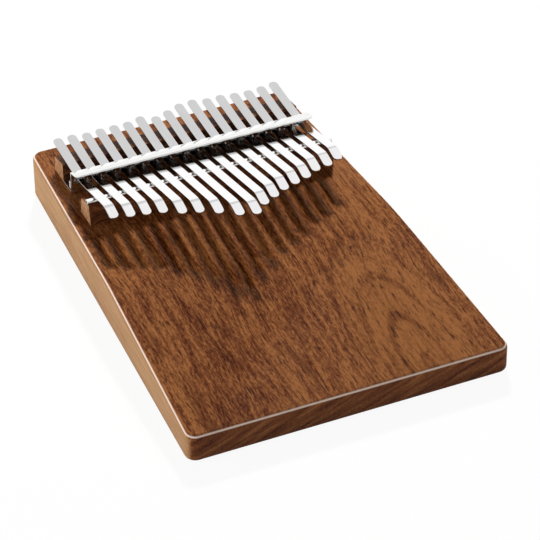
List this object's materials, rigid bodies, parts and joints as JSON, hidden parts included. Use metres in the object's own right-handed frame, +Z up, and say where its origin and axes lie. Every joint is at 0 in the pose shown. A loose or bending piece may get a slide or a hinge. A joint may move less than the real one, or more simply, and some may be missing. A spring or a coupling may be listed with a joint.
{
  "type": "mbira",
  "caption": "Thumb piano: a tapered solid walnut board with sprung steel tines held over wooden bridges by a slotted pressure bracket.",
  "frame": {"origin": "middle of the underside of the board, on the surface that the instrument rests on", "axes": "+X across the tines to the player's right, +Y along the tines towards their tails and away from the player, +Z up out of the board"},
  "size_m": [0.1424, 0.204, 0.0432],
  "materials": {
    "walnut": "dark figured walnut under clear satin lacquer",
    "bridge_wood": "reddish-brown hardwood with paler end grain, satin",
    "saddle_chrome": "polished bright tube",
    "bracket_chrome": "polished bright bent sheet",
    "screw_steel": "plated pan-head screws",
    "spring_steel": "polished spring steel, fine lengthwise brushing"
  },
  "bodies": {
    "instrument": {"board": "walnut", "rear_bridge": "bridge_wood", "front_bridge": "bridge_wood", "saddle_tube": "saddle_chrome", "pressure_bracket": "bracket_chrome", "bracket_screws": "screw_steel"},
    "tine_01_heel": {"tine_01_heel": "spring_steel"},
    "tine_01_reed": {"tine_01_reed": "spring_steel"},
    "tine_02_heel": {"tine_02_heel": "spring_steel"},
    "tine_02_reed": {"tine_02_reed": "spring_steel"},
    "tine_03_heel": {"tine_03_heel": "spring_steel"},
    "tine_03_reed": {"tine_03_reed": "spring_steel"},
    "tine_04_heel": {"tine_04_heel": "spring_steel"},
    "tine_04_reed": {"tine_04_reed": "spring_steel"},
    "tine_05_heel": {"tine_05_heel": "spring_steel"},
    "tine_05_reed": {"tine_05_reed": "spring_steel"},
    "tine_06_heel": {"tine_06_heel": "spring_steel"},
    "tine_06_reed": {"tine_06_reed": "spring_steel"},
    "tine_07_heel": {"tine_07_heel": "spring_steel"},
    "tine_07_reed": {"tine_07_reed": "spring_steel"},
    "tine_08_heel": {"tine_08_heel": "spring_steel"},
    "tine_08_reed": {"tine_08_reed": "spring_steel"},
    "tine_09_heel": {"tine_09_heel": "spring_steel"},
    "tine_09_reed": {"tine_09_reed": "spring_steel"},
    "tine_10_heel": {"tine_10_heel": "spring_steel"},
    "tine_10_reed": {"tine_10_reed": "spring_steel"},
    "tine_11_heel": {"tine_11_heel": "spring_steel"},
    "tine_11_reed": {"tine_11_reed": "spring_steel"},
    "tine_12_heel": {"tine_12_heel": "spring_steel"},
    "tine_12_reed": {"tine_12_reed": "spring_steel"},
    "tine_13_heel": {"tine_13_heel": "spring_steel"},
    "tine_13_reed": {"tine_13_reed": "spring_steel"},
    "tine_14_heel": {"tine_14_heel": "spring_steel"},
    "tine_14_reed": {"tine_14_reed": "spring_steel"},
    "tine_15_heel": {"tine_15_heel": "spring_steel"},
    "tine_15_reed": {"tine_15_reed": "spring_steel"},
    "tine_16_heel": {"tine_16_heel": "spring_steel"},
    "tine_16_reed": {"tine_16_reed": "spring_steel"},
    "tine_17_heel": {"tine_17_heel": "spring_steel"},
    "tine_17_reed": {"tine_17_reed": "spring_steel"}
  },
  "joints": [
    {"name": "tine_01_tuning", "type": "slide", "parent": "instrument", "child": "tine_01_heel", "axis": [0, -0.9984, 0.0567], "range_m": [-0.0015, 0.0015]},
    {"name": "tine_01_flex", "type": "hinge", "parent": "tine_01_heel", "child": "tine_01_reed", "pos_m": [-0.052, 0.0418, 0.03328], "axis": [1, 0, 0], "range_deg": [-1, 1], "stiffness_Nm_per_rad": 10},
    {"name": "tine_02_tuning", "type": "slide", "parent": "instrument", "child": "tine_02_heel", "axis": [0, -0.9984, 0.0567], "range_m": [-0.0015, 0.0015]},
    {"name": "tine_02_flex", "type": "hinge", "parent": "tine_02_heel", "child": "tine_02_reed", "pos_m": [-0.0455, 0.0418, 0.03328], "axis": [1, 0, 0], "range_deg": [-1.3, 1.3], "stiffness_Nm_per_rad": 8.75},
    {"name": "tine_03_tuning", "type": "slide", "parent": "instrument", "child": "tine_03_heel", "axis": [0, -0.9984, 0.0567], "range_m": [-0.0015, 0.0015]},
    {"name": "tine_03_flex", "type": "hinge", "parent": "tine_03_heel", "child": "tine_03_reed", "pos_m": [-0.039, 0.0418, 0.03328], "axis": [1, 0, 0], "range_deg": [-1.5, 1.5], "stiffness_Nm_per_rad": 8.077},
    {"name": "tine_04_tuning", "type": "slide", "parent": "instrument", "child": "tine_04_heel", "axis": [0, -0.9984, 0.0567], "range_m": [-0.0015, 0.0015]},
    {"name": "tine_04_flex", "type": "hinge", "parent": "tine_04_heel", "child": "tine_04_reed", "pos_m": [-0.0325, 0.0418, 0.03328], "axis": [1, 0, 0], "range_deg": [-1.8, 1.8], "stiffness_Nm_per_rad": 7.368},
    {"name": "tine_05_tuning", "type": "slide", "parent": "instrument", "child": "tine_05_heel", "axis": [0, -0.9984, 0.0567], "range_m": [-0.0015, 0.0015]},
    {"name": "tine_05_flex", "type": "hinge", "parent": "tine_05_heel", "child": "tine_05_reed", "pos_m": [-0.026, 0.0418, 0.03328], "axis": [1, 0, 0], "range_deg": [-2.5, 2.5], "stiffness_Nm_per_rad": 6.176},
    {"name": "tine_06_tuning", "type": "slide", "parent": "instrument", "child": "tine_06_heel", "axis": [0, -0.9984, 0.0567], "range_m": [-0.0015, 0.0015]},
    {"name": "tine_06_flex", "type": "hinge", "parent": "tine_06_heel", "child": "tine_06_reed", "pos_m": [-0.0195, 0.0418, 0.03328], "axis": [1, 0, 0], "range_deg": [-3.1, 3.1], "stiffness_Nm_per_rad": 5.6},
    {"name": "tine_07_tuning", "type": "slide", "parent": "instrument", "child": "tine_07_heel", "axis": [0, -0.9984, 0.0567], "range_m": [-0.0015, 0.0015]},
    {"name": "tine_07_flex", "type": "hinge", "parent": "tine_07_heel", "child": "tine_07_reed", "pos_m": [-0.013, 0.0418, 0.03328], "axis": [1, 0, 0], "range_deg": [-4, 4], "stiffness_Nm_per_rad": 4.884},
    {"name": "tine_08_tuning", "type": "slide", "parent": "instrument", "child": "tine_08_heel", "axis": [0, -0.9984, 0.0567], "range_m": [-0.0015, 0.0015]},
    {"name": "tine_08_flex", "type": "hinge", "parent": "tine_08_heel", "child": "tine_08_reed", "pos_m": [-0.0065, 0.0418, 0.03328], "axis": [1, 0, 0], "range_deg": [-5.5, 5.5], "stiffness_Nm_per_rad": 4.2},
    {"name": "tine_09_tuning", "type": "slide", "parent": "instrument", "child": "tine_09_heel", "axis": [0, -0.9984, 0.0567], "range_m": [-0.0015, 0.0015]},
    {"name": "tine_09_flex", "type": "hinge", "parent": "tine_09_heel", "child": "tine_09_reed", "pos_m": [0, 0.0418, 0.03328], "axis": [1, 0, 0], "range_deg": [-6.1, 6.1], "stiffness_Nm_per_rad": 3.962},
    {"name": "tine_10_tuning", "type": "slide", "parent": "instrument", "child": "tine_10_heel", "axis": [0, -0.9984, 0.0567], "range_m": [-0.0015, 0.0015]},
    {"name": "tine_10_flex", "type": "hinge", "parent": "tine_10_heel", "child": "tine_10_reed", "pos_m": [0.0065, 0.0418, 0.03328], "axis": [1, 0, 0], "range_deg": [-4.6, 4.6], "stiffness_Nm_per_rad": 4.565},
    {"name": "tine_11_tuning", "type": "slide", "parent": "instrument", "child": "tine_11_heel", "axis": [0, -0.9984, 0.0567], "range_m": [-0.0015, 0.0015]},
    {"name": "tine_11_flex", "type": "hinge", "parent": "tine_11_heel", "child": "tine_11_reed", "pos_m": [0.013, 0.0418, 0.03328], "axis": [1, 0, 0], "range_deg": [-3.8, 3.8], "stiffness_Nm_per_rad": 5.06},
    {"name": "tine_12_tuning", "type": "slide", "parent": "instrument", "child": "tine_12_heel", "axis": [0, -0.9984, 0.0567], "range_m": [-0.0015, 0.0015]},
    {"name": "tine_12_flex", "type": "hinge", "parent": "tine_12_heel", "child": "tine_12_reed", "pos_m": [0.0195, 0.0418, 0.03328], "axis": [1, 0, 0], "range_deg": [-3, 3], "stiffness_Nm_per_rad": 5.676},
    {"name": "tine_13_tuning", "type": "slide", "parent": "instrument", "child": "tine_13_heel", "axis": [0, -0.9984, 0.0567], "range_m": [-0.0015, 0.0015]},
    {"name": "tine_13_flex", "type": "hinge", "parent": "tine_13_heel", "child": "tine_13_reed", "pos_m": [0.026, 0.0418, 0.03328], "axis": [1, 0, 0], "range_deg": [-2.5, 2.5], "stiffness_Nm_per_rad": 6.176},
    {"name": "tine_14_tuning", "type": "slide", "parent": "instrument", "child": "tine_14_heel", "axis": [0, -0.9984, 0.0567], "range_m": [-0.0015, 0.0015]},
    {"name": "tine_14_flex", "type": "hinge", "parent": "tine_14_heel", "child": "tine_14_reed", "pos_m": [0.0325, 0.0418, 0.03328], "axis": [1, 0, 0], "range_deg": [-2.1, 2.1], "stiffness_Nm_per_rad": 6.774},
    {"name": "tine_15_tuning", "type": "slide", "parent": "instrument", "child": "tine_15_heel", "axis": [0, -0.9984, 0.0567], "range_m": [-0.0015, 0.0015]},
    {"name": "tine_15_flex", "type": "hinge", "parent": "tine_15_heel", "child": "tine_15_reed", "pos_m": [0.039, 0.0418, 0.03328], "axis": [1, 0, 0], "range_deg": [-1.5, 1.5], "stiffness_Nm_per_rad": 7.925},
    {"name": "tine_16_tuning", "type": "slide", "parent": "instrument", "child": "tine_16_heel", "axis": [0, -0.9984, 0.0567], "range_m": [-0.0015, 0.0015]},
    {"name": "tine_16_flex", "type": "hinge", "parent": "tine_16_heel", "child": "tine_16_reed", "pos_m": [0.0455, 0.0418, 0.03328], "axis": [1, 0, 0], "range_deg": [-1.3, 1.3], "stiffness_Nm_per_rad": 8.571},
    {"name": "tine_17_tuning", "type": "slide", "parent": "instrument", "child": "tine_17_heel", "axis": [0, -0.9984, 0.0567], "range_m": [-0.0015, 0.0015]},
    {"name": "tine_17_flex", "type": "hinge", "parent": "tine_17_heel", "child": "tine_17_reed", "pos_m": [0.052, 0.0418, 0.03328], "axis": [1, 0, 0], "range_deg": [-0.9, 0.9], "stiffness_Nm_per_rad": 10.244}
  ]
}
